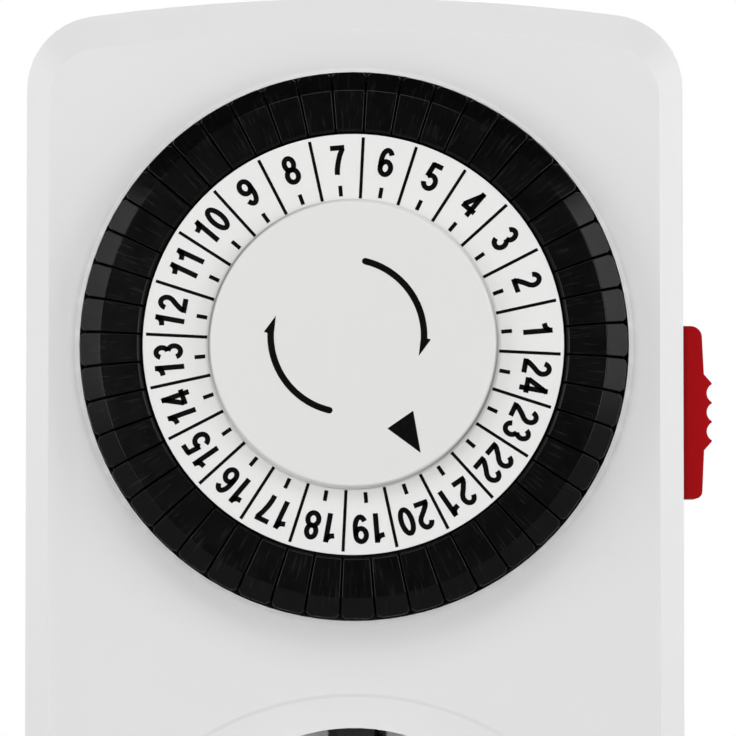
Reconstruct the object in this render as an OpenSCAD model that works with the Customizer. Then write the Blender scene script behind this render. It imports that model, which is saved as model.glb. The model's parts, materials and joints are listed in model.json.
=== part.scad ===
// Plug-in mechanical timer switch for 24 hours: a round-pin plug at the back, a socket in front,
// a dial with 48 push-in tappets, and an override slider on the right side.
// X runs to the right, Y from the front to the back, Z up. Origin: centre of the plug's end face.

/* [Body] */
// Width of the body
body_w = 71; // [70:0.5:78]
// Height of the dial's centre above the plug's centre
dial_z = 60.75; // [60:0.25:66]
// Top of the body above the dial's centre
top_rise = 37.8; // [36.5:0.1:42]
// Bottom of the body below the plug's centre
bottom_drop = 27; // [26.5:0.5:32]
// Depth of the body between its front and back faces
body_d = 40; // [40:0.5:46]
// Thickness of the housing's walls
wall = 2.2; // [1.8:0.1:2.4]
// Radius of the body's corners, seen from the front
corner_r = 8; // [6:0.5:10]
// Radius of the arched top edge
crown_r = 215; // [180:5:300]
// Width of the bevel along the front edge
bevel_w = 2.6; // [1.5:0.1:3]
// Width of that bevel along the top
bevel_top_w = 3.8; // [2.6:0.1:4]
// Depth of that bevel
bevel_d = 2.2; // [1:0.1:2.4]
// Radius of the rounded back edge
back_edge_r = 1.6; // [0.8:0.1:2]
// Depth of the rear cover
rear_d = 17.5; // [16:0.5:19]

/* [Dial] */
// Outer radius of the ring of tappets
tappet_r = 29.3; // [28.5:0.1:29.8]
// Inner radius of the ring of tappets
tappet_in_r = 22.75; // [22.6:0.05:23]
// Width of the sloped outer edge of a tappet
tappet_slope_w = 2.15; // [1.5:0.05:2.5]
// Depth of that slope
tappet_slope_d = 1.7; // [1:0.1:2.4]
// Height of the tappets above the front face
tappet_rise = 4.2; // [3.6:0.1:5]
// Travel of a tappet
tappet_travel = 3; // [2.4:0.1:3]
// Angle left open between two tappets
tappet_gap_deg = 0.4; // [0.3:0.05:0.6]
// Width of a tappet's stem
stem_w = 1.9; // [1.6:0.05:2]
// Outer radius of the number ring
ring_r = 22.5; // [22:0.1:22.5]
// Radius of the fixed centre cap
cap_r = 15.5; // [14:0.1:17]
// Clockwise turn of the dial, seen from the front
dial_phase = 2.8; // [0:0.1:7.5]
// Radius of the fixed axle that the dial turns on
axle_r = 4; // [3.5:0.1:4.5]

/* [Gears] */
// Module of the gears
gear_m = 0.6; // [0.58:0.01:0.6]
// Teeth of the dial's gear
dial_teeth = 50; // [46:2:50]
// Teeth of both pinions
pinion_teeth = 10; // [8:1:10]
// Teeth of the reduction wheel
wheel_teeth = 30; // [26:1:30]

/* [Motor] */
// Radius of the motor's can
motor_r = 16; // [13:0.5:16.5]
// Length of the motor's can
motor_l = 14; // [10:0.5:14.5]

/* [Socket and plug] */
// Radius of the socket's recess
recess_r = 19.75; // [19.5:0.05:20]
// Depth of the socket's recess
recess_d = 17.5; // [17:0.1:17.5]
// Distance between the two pins
pin_pitch = 19; // [18.8:0.1:19.2]
// Radius of a pin
pin_r = 2.4; // [2.37:0.01:2.43]
// Length of a pin beyond the plug's end face
pin_l = 19; // [18.5:0.1:19.5]
// Radius of the plug's boss
boss_r = 18.6; // [18.4:0.1:18.7]
// Length of the plug's boss
boss_l = 17.5; // [16:0.5:18.5]
// Radius of the holes in the socket's floor
hole_r = 2.75; // [2.6:0.05:2.8]
// Radius of the sunk arch round the socket
arch_r = 32; // [30:0.25:32]

/* [Slider] */
// Length of the override slider
slider_l = 18.9; // [17.5:0.1:20]
// Height that the slider stands out of the side
slider_t = 2.3; // [1.5:0.1:2.5]
// Width of the slider from front to back
slider_w = 7; // [6.4:0.1:8]
// Centre of the slider below the dial's centre
slider_drop = 6.85; // [6.5:0.05:7.3]
// Travel of the slider
slider_travel = 4; // [3:0.1:4]

/* [Fits] */
// Radial clearance of a turning fit
run_gap = 0.05; // [0.03:0.01:0.08]
// Clearance round a sliding stem or seated strip
slide_gap = 0.1; // [0.06:0.01:0.15]
// Clearance between pieces that pass each other
pass_gap = 0.3; // [0.25:0.01:0.35]

/* [Hidden] */
HOURS = 24;
$fn = 96;
eps = 0.01;

// planes along Y, from the back to the front
back_y = -boss_l;
back_in_y = back_y - wall;
face_y = back_y - body_d;
face_in_y = face_y + wall;
split_y = back_y - rear_d;
// dial stack, counted from the front face
tappet_top_y = face_y - tappet_rise;
ring_top_y = tappet_top_y + 0.2;
ring_t = 1;
drum_top_y = ring_top_y + ring_t;
cap_under_y = ring_top_y - 0.2;
cap_t = 1;
head_under_y = face_y + 1.3;
plate_front_y = head_under_y + tappet_travel + 0.2;
plate_back_y = plate_front_y + 4;
stem_end_y = plate_back_y;
pushed_y = stem_end_y + tappet_travel;
hub_back_y = plate_back_y + 4;
// mechanism plate and gear levels
lever_front_y = pushed_y + pass_gap;
chassis_y = pushed_y + 5;
chassis_t = 1.5;
chassis_back_y = chassis_y + chassis_t;
dial_gear_y = plate_back_y + 0.5;
dial_gear_t = 2;
wheel_y = hub_back_y + 0.4;
wheel_t = 1.6;
// outlines
half_w = body_w / 2;
top_z = dial_z + top_rise;
bottom_z = -bottom_drop;
// dial
drum_wall = 2;
well_gap = 0.25;
well_r = tappet_r + well_gap;
well_wall = 1.6;
well_end_y = plate_back_y - 1.5;
corner_cut = 0.4;
stem_in_r = tappet_in_r + 1.25;
stem_out_r = tappet_r - 1.9;
hub_r = 7;
ring_in_r = cap_r - 0.8;
// gears: the arbor lies up and to the left of the dial's axis, the motor beyond it
arbor_turn = -45;
motor_turn = 110;
gear_reach = gear_m * (dial_teeth + pinion_teeth) / 2;
motor_reach = gear_m * (wheel_teeth + pinion_teeth) / 2;
arbor_x = gear_reach * sin(arbor_turn);
arbor_z = dial_z + gear_reach * cos(arbor_turn);
motor_x = arbor_x + motor_reach * sin(motor_turn);
motor_z = arbor_z + motor_reach * cos(motor_turn);
arbor_r = 1;
// switch
lever_x = half_w - 11.5;
lever_w = 4;
lever_t = 2.5;
lever_back_y = lever_front_y + 0.5 + lever_t;
lever_pivot_y = lever_back_y - lever_t / 2;
lever_pivot_z = dial_z - 10.75;
lever_pin_r = 0.75;
lever_top_z = lever_pivot_z + 12.5;
lever_foot_z = lever_pivot_z - 10;
leaf_t = 0.4;
leaf_y = lever_front_y - 0.8;
leaf_foot_z = lever_pivot_z - 18.7;
contact_gap = 0.9;
rivet_r = 1.5;
rivet_t = 0.6;
block_top_z = leaf_foot_z - 0.2;
block_h = 7;
fixed_y = leaf_y - rivet_t - contact_gap - rivet_t - 0.5;
strip_t = 0.5;
link_t = 0.8;
// socket
floor_y = face_y + recess_d;
floor_t = 2.2;
floor_back_y = floor_y + floor_t;
cup_r = recess_r + 1.8;
shutter_turn = 40;
shutter_t = 1.3;
shutter_y = floor_back_y + pass_gap;
post_r = 2;
contact_y = floor_back_y + 4.8;
contact_l = 9;
contact_r = 3;
contact_slot_l = 3.5;
block_y = contact_y + contact_slot_l + 0.7;
block_t = 3;
foot_r = 1.6;
boss_floor = 2.5;
boss_in_r = boss_r - 2 * wall;
seat_gap = 0.02;
collar_r = pin_r + 1.2;
collar_t = 1.2;
neck_r = pin_r + 0.3;
root_r = pin_r - 0.4;
root_l = 3.5;
eye_wall = 1.2;
link_x = pin_pitch / 2 + contact_r + pass_gap;
// screws
screw_r = 1.4;
screw_l = 16;
head_r = 2.6;
screw_wall = 1.4;
screw_x = half_w - 6;
screw_seat_y = back_y - 10.5;
screw_top_z = top_z - 7;
screw_low_z = bottom_z + 6;
small_r = 1.1;
small_l = 7;
small_head_r = 2.1;
post_x = lever_x - 2.5;
post_low_z = dial_z - 21;
post_top_z = dial_z + 26;
post_margin = 3.5;
// slider
slider_z = dial_z - slider_drop;
slot_gap = 0.3;
neck_l = 6;
neck_w = 4;
neck_y = lever_front_y - 1;

// a flat shape drawn in X and Z, given depth from y0 to y1
module slab(y0, y1) {
    translate([0, y1, 0]) rotate([90, 0, 0]) linear_extrude(height = y1 - y0) children();
}

// a round bar along Y
module rod(r, y0, y1) {
    translate([0, y0, 0]) rotate([-90, 0, 0]) cylinder(r = r, h = y1 - y0);
}

// a profile of radius and Y, turned about the Y axis
module turned() {
    rotate([-90, 0, 0]) rotate_extrude() children();
}

// a block from one corner to the opposite one
module block(low, high) {
    translate(low) cube(high - low);
}

// the outline of the body, drawn in by a margin
module outline(margin) {
    w = half_w - margin;
    r = corner_r - margin;
    crown = crown_r - margin;
    top = top_z - margin;
    low = bottom_z + margin;
    reach = sqrt(pow(crown - r, 2) - pow(w - r, 2));
    corner_z = top - crown + reach;
    tangent_x = (w - r) * crown / (crown - r);
    intersection() {
        translate([0, top - crown]) circle(r = crown, $fn = 720);
        translate([-tangent_x, corner_z]) square([2 * tangent_x, corner_r * 2]);
    }
    for (side = [-1, 1], z = [corner_z, low + r]) translate([side * (w - r), z])
        circle(r = r);
    translate([-w, low + r]) square([2 * w, corner_z - low - r]);
    translate([r - w, low]) square([2 * (w - r), r + eps]);
}

// half of the back's section, its free corner rounded: radius along X, depth along Y
module edge_profile(in_r, out_r) {
    translate([0, back_y]) mirror([0, 1]) {
        translate([in_r, 0]) square([out_r - back_edge_r - in_r, rear_d]);
        translate([in_r, back_edge_r]) square([out_r - in_r, rear_d - back_edge_r]);
        translate([out_r - back_edge_r, back_edge_r]) circle(r = back_edge_r, $fn = 24);
    }
}

// the back half's solid with its rounded edge
module rounded_body() {
    side = half_w - corner_r;
    reach = sqrt(pow(crown_r - corner_r, 2) - pow(side, 2));
    corner_z = top_z - crown_r + reach;
    half_turn = asin(side / (crown_r - corner_r));
    hull() {
        for (x = [-side, side], z = [bottom_z + corner_r, corner_z]) translate([x, 0, z])
            rotate([-90, 0, 0]) rotate_extrude($fn = 48)
                edge_profile(0, corner_r);
        translate([0, 0, top_z - crown_r]) rotate([0, -90 - half_turn, 0]) rotate([-90, 0, 0])
            rotate_extrude(angle = 2 * half_turn, $fn = 288)
                edge_profile(reach, crown_r);
    }
}

// the body's solid from y0 to y1 with the given radii of corners and crown, its top lowered by drop
module body_stack(corner, crown, drop, y0, y1) {
    side = half_w - corner_r;
    reach = sqrt(pow(crown_r - corner_r, 2) - pow(side, 2));
    half_turn = asin(side / (crown_r - corner_r));
    for (x = [-side, side], z = [bottom_z + corner_r, top_z - crown_r + reach - drop])
        translate([x, 0, z]) rod(corner, y0, y1, $fn = 48);
    translate([0, 0, top_z - crown_r]) rotate([0, -90 - half_turn, 0]) rotate([-90, 0, 0])
        rotate_extrude(angle = 2 * half_turn, $fn = 288)
            translate([reach, y0]) square([crown - reach, y1 - y0]);
}

// the front half's solid with its bevel, wider along the top
module beveled_body() hull() {
    body_stack(corner_r, crown_r, 0, face_y + bevel_d, split_y);
    body_stack(corner_r - bevel_w, crown_r - bevel_top_w, bevel_top_w - bevel_w, face_y, face_y + eps);
}

module at_screws() {
    for (x = [-screw_x, screw_x], z = [screw_low_z, screw_top_z]) translate([x, 0, z]) children();
}

module at_posts() {
    for (x = [-post_x, post_x], z = [post_low_z, post_top_z]) translate([x, 0, z]) children();
}

arch_drop = 69.5;
sink_d = 0.3;
sink_slope_w = 0.6;

// the sunk arch round the socket, with sloped edges
module sunk_arch() {
    centre_z = dial_z - arch_drop;
    margin = half_w - arch_r;
    low = bottom_z + margin;
    r = corner_r - margin;
    y0 = face_y - eps;
    y1 = face_y + sink_d;
    for (spot = [[0, centre_z, arch_r], [r - arch_r, low + r, r], [arch_r - r, low + r, r]])
        translate([spot[0], y0, spot[1]]) rotate([-90, 0, 0])
            cylinder(r1 = spot[2], r2 = spot[2] - sink_slope_w, h = y1 - y0);
    translate([0, 0, low + r]) linear_extrude(height = centre_z - low - r)
        polygon([[-arch_r, y0], [arch_r, y0], [arch_r - sink_slope_w, y1], [sink_slope_w - arch_r, y1]]);
    rotate([90, 0, 90]) translate([0, 0, r - arch_r]) linear_extrude(height = 2 * (arch_r - r))
        polygon([[y0, low], [y1, low + sink_slope_w], [y1, low + r + eps], [y0, low + r + eps]]);
}

blind_l = 5.3;
lip_rise = 0.35;

// a raised lip round an opening of radius r, sloping down to the surface at y
module lip(r, width, y) turned()
    polygon([[r, y + 1], [r, y - lip_rise], [r + width, y], [r + width, y + 1]]);

// the front half, open for the dial and the socket
module front_cover() color("whitesmoke") {
    difference() {
        beveled_body();
        difference() {
            slab(face_in_y, split_y + 1) outline(wall);
            translate([0, 0, dial_z]) rod(well_r + well_wall, face_in_y - 1, well_end_y);
            at_screws() rod(screw_r + screw_wall, face_in_y - 1, split_y + 2);
        }
        translate([0, 0, dial_z]) rod(well_r, face_y - 1, split_y + 1);
        rod(recess_r, face_y - 1, face_in_y + 1);
        at_screws() rod(screw_r + run_gap, screw_seat_y - screw_l - blind_l, split_y + 3);
        block([half_w - wall - 1, neck_y - slot_gap, slider_z - neck_l / 2 - slider_travel - slot_gap],
            [half_w + 1, neck_y + neck_w + slot_gap, slider_z + neck_l / 2 + slot_gap]);
        sunk_arch();
    }
    lip(recess_r, 0.75, face_y + sink_d);
    translate([0, 0, dial_z]) lip(well_r, 0.5, face_y);
}

module pin_spots() {
    for (side = [-1, 1]) translate([side * pin_pitch / 2, 0, 0]) children();
}

// the groove for an earth clip or a guide rib in the boss
module boss_groove(width, depth, turn, end_y) {
    rotate([0, turn, 0])
        block([-width / 2, back_y, boss_r - depth], [width / 2, end_y, boss_r + 1]);
}

earth_w = 4;
clip_depth = 1.4;
rib_w = 4.6;
rib_depth = 2.2;

module rear_cover() color("whitesmoke") {
    difference() {
        union() {
            difference() {
                rounded_body();
                slab(split_y - 1, back_in_y) outline(wall);
            }
            rod(boss_r, back_y - eps, 0);
            at_screws() rod(head_r + 1, split_y, back_in_y + eps);
            at_posts() rod(small_r + 1.7, chassis_back_y, back_in_y + eps);
        }
        rod(boss_in_r, back_in_y - 1, -boss_floor);
        for (turn = [90, 270]) boss_groove(rib_w + 2 * pass_gap, rib_depth, turn, 1);
        for (turn = [0, 180]) boss_groove(earth_w + 2 * slide_gap, clip_depth, turn, -1.5);
        pin_spots() rod(neck_r + run_gap, back_in_y - 2, 1);
        at_screws() {
            rod(head_r + pass_gap, screw_seat_y, back_y + 1);
            rod(screw_r + 2 * slide_gap, split_y - 1, back_y);
        }
        at_posts() rod(small_r + run_gap, chassis_back_y - 1, chassis_back_y + small_l + 2);
    }
}

// a screw along Y: its head behind the seat, its shank towards the front
module screw(seat_y, shank_r, head_r, length) {
    difference() {
        union() {
            rod(shank_r, seat_y - length, seat_y + eps);
            rod(head_r, seat_y, seat_y + head_r * 0.7);
        }
        for (turn = [0, 90]) rotate([0, turn, 0])
            block([-head_r * 0.6, seat_y + head_r * 0.3, -head_r * 0.14],
                [head_r * 0.6, seat_y + head_r, head_r * 0.14]);
    }
}

module cover_screws() color("silver") at_screws() screw(screw_seat_y, screw_r, head_r, screw_l);

module chassis_screws() color("silver") at_posts()
    mirror([0, 1, 0]) screw(-chassis_y, small_r, small_head_r, small_l);

module chassis_plate() color("gainsboro") {
    side = post_x + post_margin;
    right = lever_x + lever_w + 1.5;
    tab_z = block_top_z - block_h / 2;
    difference() {
        union() {
            slab(chassis_y, chassis_back_y) difference() {
                union() {
                    translate([-side, post_low_z - post_margin])
                        square([2 * side, post_top_z - post_low_z + 2 * post_margin]);
                    translate([lever_x - 2, tab_z])
                        square([right - lever_x + 2, lever_pivot_z + 4 - tab_z]);
                }
                translate([motor_x, motor_z]) circle(r = 3.4);
            }
            for (x = [lever_x - 1.4, lever_x + lever_w + 0.4])
                block([x, lever_pivot_y - lever_pin_r - 0.4, lever_pivot_z - 2.5],
                    [x + 1, chassis_y + eps, lever_pivot_z + 2.5]);
        }
        at_posts() rod(small_r + pass_gap, chassis_y - 1, chassis_back_y + 1);
        translate([arbor_x, 0, arbor_z]) rod(arbor_r + run_gap, chassis_y - 1, chassis_back_y + 1);
        translate([0, lever_pivot_y, lever_pivot_z]) rotate([0, 90, 0])
            cylinder(r = lever_pin_r + run_gap, h = 60);
    }
}

module dial_axle() color("dimgray") translate([0, 0, dial_z]) {
    difference() {
        union() {
            rod(axle_r, cap_under_y, chassis_y);
            rod(axle_r + 0.9, hub_back_y + slide_gap, chassis_y);
        }
        rod(2, cap_under_y - 1, cap_under_y + 8);
    }
}

module centre_cap() color("white") translate([0, 0, dial_z]) {
    round_r = 0.4;
    top = cap_under_y - cap_t;
    turned() polygon([[0, top], [cap_r - round_r, top], [cap_r, top + round_r], [cap_r, cap_under_y],
        [2, cap_under_y], [2, cap_under_y + 7], [0, cap_under_y + 7]]);
}

module number_ring() color("white") translate([0, 0, dial_z])
    turned() polygon([[ring_in_r, ring_top_y], [ring_r, ring_top_y], [ring_r, drum_top_y],
        [ring_in_r, drum_top_y]]);

module dial_carrier() color("black") translate([0, 0, dial_z]) {
    bore = axle_r + run_gap;
    rim_r = tappet_r - 0.1;
    in_r = ring_r - drum_wall;
    web_y = drum_top_y + 2;
    difference() {
        turned() polygon([[bore, drum_top_y], [ring_r, drum_top_y], [ring_r, plate_front_y],
            [rim_r, plate_front_y], [rim_r, plate_back_y], [in_r, plate_back_y], [in_r, web_y],
            [hub_r, web_y], [hub_r, hub_back_y], [bore, hub_back_y]]);
        for (i = [0:2 * HOURS - 1]) rotate([0, dial_phase + (i + 0.5) * 180 / HOURS, 0])
            block([-stem_w / 2 - slide_gap, plate_front_y - 1, stem_in_r - slide_gap],
                [stem_w / 2 + slide_gap, plate_back_y + 1, stem_out_r + slide_gap]);
    }
}

// one half-hour tappet, pointing up
module tappet() {
    sweep = 180 / HOURS - tappet_gap_deg;
    difference() {
        rotate([0, -90 - sweep / 2, 0]) rotate([-90, 0, 0]) rotate_extrude(angle = sweep)
            polygon([[tappet_in_r, head_under_y], [tappet_in_r, tappet_top_y + 0.25],
                [tappet_in_r + 0.25, tappet_top_y], [tappet_r - tappet_slope_w, tappet_top_y],
                [tappet_r, tappet_top_y + tappet_slope_d], [tappet_r, head_under_y]]);
        for (side = [-1, 1]) rotate([0, side * sweep / 2, 0]) translate([0, 0, tappet_r])
            rotate([0, side * 45, 0])
                block([-1, tappet_top_y - 1, -corner_cut / sqrt(2)], [1, head_under_y + 1, 1]);
    }
    block([-stem_w / 2, head_under_y - eps, stem_in_r], [stem_w / 2, stem_end_y, stem_out_r]);
}

// the two tappets of one hour; the hours run counter-clockwise
module hour_tappets(hour) color("black") translate([0, 0, dial_z])
    rotate([0, dial_phase + (6.5 - hour) * 360 / HOURS, 0])
        for (half = [-0.25, 0.25]) rotate([0, half * 360 / HOURS, 0]) tappet();

// a spur gear in X and Z, a tooth pointing along +Z
module spur(teeth) {
    root = gear_m * (teeth / 2 - 1.2);
    tip = gear_m * (teeth / 2 + 0.8);
    pitch = 360 / teeth;
    polygon([for (i = [0:teeth - 1], c = [[root, -0.27], [tip, -0.1], [tip, 0.1], [root, 0.27]])
        let (a = (i + c[1]) * pitch) [c[0] * sin(a), c[0] * cos(a)]]);
}

module dial_gear() color("ivory") translate([0, 0, dial_z])
    slab(dial_gear_y, dial_gear_y + dial_gear_t) difference() {
        rotate(-arbor_turn) spur(dial_teeth);
        circle(r = hub_r + run_gap);
    }

module clutch_washer() color("silver") translate([0, 0, dial_z]) {
    back = dial_gear_y - run_gap;
    turned() polygon([[hub_r + run_gap, back - 0.6], [hub_r + 1.5, back - 0.6], [hub_r + 5, back - 0.3],
        [hub_r + 5, back], [hub_r + 1.5, back - 0.3], [hub_r + run_gap, back - 0.3]]);
}

module reduction_gear() color("ivory") translate([arbor_x, 0, arbor_z]) difference() {
    union() {
        slab(dial_gear_y - 0.2, wheel_y + eps)
            rotate(-arbor_turn + 180 + 180 / pinion_teeth) spur(pinion_teeth);
        slab(wheel_y, wheel_y + wheel_t) rotate(-motor_turn) spur(wheel_teeth);
    }
    rod(arbor_r + run_gap, dial_gear_y - 1, wheel_y + wheel_t + 1);
}

module gear_arbor() color("silver") translate([arbor_x, 0, arbor_z]) {
    rod(arbor_r, dial_gear_y - 1, chassis_back_y);
    rod(arbor_r + 1, wheel_y + wheel_t + 0.1, chassis_y);
}

module motor_pinion() color("ivory") translate([motor_x, 0, motor_z]) difference() {
    slab(wheel_y - 0.2, wheel_y + wheel_t + 0.6)
        rotate(-motor_turn + 180 + 180 / pinion_teeth) spur(pinion_teeth);
    rod(arbor_r + run_gap, wheel_y - 1, wheel_y + wheel_t + 1);
}

module motor() color("silver") translate([motor_x, 0, motor_z]) {
    rod(motor_r, chassis_back_y, chassis_back_y + motor_l);
    rod(3.2, chassis_y - 0.4, chassis_back_y + eps);
    rod(arbor_r, wheel_y - 0.4, chassis_back_y);
}

module lever_pin() color("silver") translate([lever_x - 1.4, lever_pivot_y, lever_pivot_z])
    rotate([0, 90, 0]) cylinder(r = lever_pin_r, h = lever_w + 2.8, $fn = 32);

module switch_lever() color("darkorange") difference() {
    right = lever_x + lever_w;
    bar_y = lever_back_y - lever_t;
    union() {
        block([lever_x, bar_y, lever_foot_z], [right, lever_back_y, lever_top_z]);
        block([lever_x, lever_front_y, lever_top_z - 3.5], [right, bar_y + eps, lever_top_z]);
        block([lever_x, leaf_y + leaf_t + run_gap, lever_foot_z], [right, bar_y + eps, lever_foot_z + 2]);
        block([right - eps, bar_y, lever_pivot_z + 4], [right + 2.5, bar_y + 1.5, lever_pivot_z + 6]);
    }
    translate([lever_x - 1, lever_pivot_y, lever_pivot_z]) rotate([0, 90, 0])
        cylinder(r = lever_pin_r + run_gap, h = lever_w + 4);
}

module contact_leaf() color("peru") {
    block([lever_x, leaf_y, leaf_foot_z], [lever_x + lever_w, leaf_y + leaf_t, lever_foot_z + 3]);
    translate([lever_x + lever_w / 2, 0, lever_foot_z + 1]) rod(rivet_r, leaf_y - rivet_t, leaf_y + eps);
}

module terminal_block() color("saddlebrown") difference() {
    low_z = block_top_z - block_h;
    block([lever_x - 1, fixed_y - 2, low_z], [lever_x + lever_w + 1, chassis_y, block_top_z]);
    for (y = [fixed_y, leaf_y - 0.05])
        block([lever_x + 0.4, y - 0.03, low_z - 1],
            [lever_x + lever_w - 0.4, y + strip_t + 0.03, block_top_z + 1]);
}

riser_z = block_top_z - block_h - 1;
eye_y = -boss_floor - collar_t - link_t;
tongue_w = 4;

// a flat eye round a pin or a sleeve, with a tongue to the strip at link_x
module eye(y, r) {
    slab(y, y + link_t) difference() {
        union() {
            circle(r = r + eye_wall);
            translate([0, -tongue_w / 2]) square([link_x + link_t - pin_pitch / 2, tongue_w]);
        }
        circle(r = r + seat_gap);
    }
}

module live_link() color("goldenrod") {
    left = lever_x + 0.5;
    right = lever_x + lever_w - 0.5;
    leaf_in_y = leaf_y - 0.05;
    bend_y = back_in_y - 2 * pass_gap;
    block([left, leaf_in_y, riser_z], [right, leaf_in_y + strip_t, block_top_z]);
    block([left, leaf_in_y, riser_z], [right, bend_y, riser_z + link_t]);
    slab(bend_y - link_t, bend_y) polygon([[link_x, -tongue_w / 2], [link_x + link_t, -tongue_w / 2],
        [right, riser_z - tongue_w], [right, riser_z + link_t], [left, riser_z + link_t],
        [link_x, tongue_w / 2 + 1]]);
    block([link_x, bend_y - link_t, -tongue_w / 2], [link_x + link_t, eye_y + link_t, tongue_w / 2]);
    translate([pin_pitch / 2, 0, 0]) eye(eye_y, root_r);
}

module switched_link() color("goldenrod") {
    left = lever_x + 0.5;
    right = lever_x + lever_w - 0.5;
    low_z = riser_z - 1.4;
    back = block_y - 0.2;
    block([left, fixed_y, low_z], [right, fixed_y + strip_t, lever_foot_z + 3]);
    block([left, fixed_y, low_z], [right, back, low_z + link_t]);
    slab(back - link_t, back) difference() {
        union() {
            translate([pin_pitch / 2, 0]) circle(r = contact_r + eye_wall);
            polygon([[pin_pitch / 2, tongue_w], [pin_pitch / 2 + contact_r, -1], [right, low_z - tongue_w],
                [right, low_z + link_t], [left, low_z + link_t]]);
        }
        translate([pin_pitch / 2, 0]) circle(r = contact_r + seat_gap);
    }
    translate([(left + right) / 2, 0, lever_foot_z + 1])
        rod(rivet_r, fixed_y + strip_t - eps, fixed_y + strip_t + rivet_t);
}

// a slotted sleeve that grips a pin of the plug pushed into the socket
module sleeve() {
    difference() {
        rod(contact_r, contact_y, contact_y + contact_l);
        rod(pin_r + 0.1, contact_y - 1, contact_y + contact_l + 1);
        block([-0.4, contact_y - 1, -contact_r - 1],
            [0.4, contact_y + contact_slot_l, contact_r + 1]);
    }
}

module live_socket_contact() color("goldenrod") translate([pin_pitch / 2, 0, 0]) sleeve();

module neutral_socket_contact() color("goldenrod") translate([-pin_pitch / 2, 0, 0]) sleeve();

module neutral_link() color("goldenrod") mirror([1, 0, 0]) {
    start_y = contact_y + contact_l - link_t;
    block([link_x, start_y, -tongue_w / 2], [link_x + link_t, eye_y + link_t, tongue_w / 2]);
    translate([pin_pitch / 2, 0, 0]) {
        eye(start_y, contact_r);
        eye(eye_y, root_r);
    }
}

// a plate that holds the sleeves, on four feet that stand round the boss's bore
module contact_block() color("saddlebrown") {
    back = block_y + block_t;
    foot_reach = boss_in_r + foot_r + 0.6;
    foot_x = foot_reach * cos(37);
    foot_z = foot_reach * sin(37);
    difference() {
        union() {
            slab(block_y, back)
                square([2 * (foot_x + foot_r), 2 * (foot_z + foot_r)], center = true);
            for (x = [-foot_x, foot_x], z = [-foot_z, foot_z]) translate([x, 0, z])
                rod(foot_r, back - eps, back_in_y);
        }
        pin_spots() rod(contact_r + seat_gap, block_y - 1, back + 1);
    }
}

// two clips in the socket, joined by a strip that runs between the pins
module earth_strip() color("lightgray") {
    t = 0.8;
    z = recess_r + 0.2;
    bow = recess_r - 2.2;
    front = face_in_y + 2;
    mid = (front + floor_y) / 2;
    back = back_in_y - 0.2;
    for (side = [0, 1]) mirror([0, 0, side])
        rotate([90, 0, 90]) translate([0, 0, -earth_w / 2]) linear_extrude(height = earth_w)
            polygon([[front, z], [mid - 1, bow], [mid + 1, bow], [floor_y - 1, z],
                [back - t, z], [back - t, 0], [back, 0], [back, z + t], [floor_y - 1, z + t],
                [mid + 1, bow + t], [mid - 1, bow + t], [front, z + t]]);
}

module plug_earth_clips() color("lightgray") {
    t = 0.9;
    floor_z = boss_r - clip_depth;
    for (side = [0, 1]) mirror([0, 0, side])
        block([-earth_w / 2, back_y, floor_z + 0.02], [earth_w / 2, -2, floor_z + t]);
}

// a plug pin along +Y: root, collar and neck in the boss, and a rounded end
module plug_pin() {
    tip = 1;
    collar_y = -boss_floor - collar_t;
    root_y = collar_y - root_l;
    turned() polygon(concat(
        [[0, root_y], [root_r, root_y], [root_r, collar_y], [collar_r, collar_y],
            [collar_r, -boss_floor], [neck_r, -boss_floor], [neck_r, 0], [pin_r, 0]],
        [for (a = [0:15:90]) [pin_r - tip + tip * cos(a), pin_l - tip + tip * sin(a)]],
        [[0, pin_l]]));
}

module live_pin() color("silver") translate([pin_pitch / 2, 0, 0]) plug_pin();

module neutral_pin() color("silver") translate([-pin_pitch / 2, 0, 0]) plug_pin();

module socket_cup() color("white") difference() {
    union() {
        rod(cup_r, face_in_y, floor_back_y);
        rod(post_r, floor_back_y - eps, contact_y);
    }
    difference() {
        rod(recess_r, face_in_y - 1, floor_y);
        for (side = [-1, 1]) translate([side * recess_r, 0, 0])
            block([-2, face_in_y - 2, -rib_w / 2], [2, floor_y + 1, rib_w / 2]);
    }
    pin_spots() rod(hole_r, floor_y - 1, floor_back_y + 1);
    for (side = [0, 1]) mirror([0, 0, side])
        block([-3.2, face_in_y + 1.5, recess_r - 3], [3.2, floor_back_y + 1, cup_r + 1]);
}

module shutter() color("gray") difference() {
    union() {
        rod(13.2, shutter_y, shutter_y + shutter_t);
        rod(post_r + 1.2, shutter_y, shutter_y + shutter_t + 0.5);
    }
    rod(post_r + run_gap, shutter_y - 1, shutter_y + shutter_t + 2);
    rotate([0, -shutter_turn, 0]) pin_spots() rod(hole_r, shutter_y - 1, shutter_y + shutter_t + 1);
}

module shutter_spring() color("silver") {
    wire = 0.3;
    start = shutter_y + shutter_t + 0.8 + wire;
    union() {
        for (i = [0:2]) turned() translate([post_r + 0.35 + wire, start + i * wire * 1.6])
            circle(r = wire, $fn = 16);
        translate([post_r + 0.3 + wire, start, 0]) cylinder(r = wire, h = 6, $fn = 16);
    }
}

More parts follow.
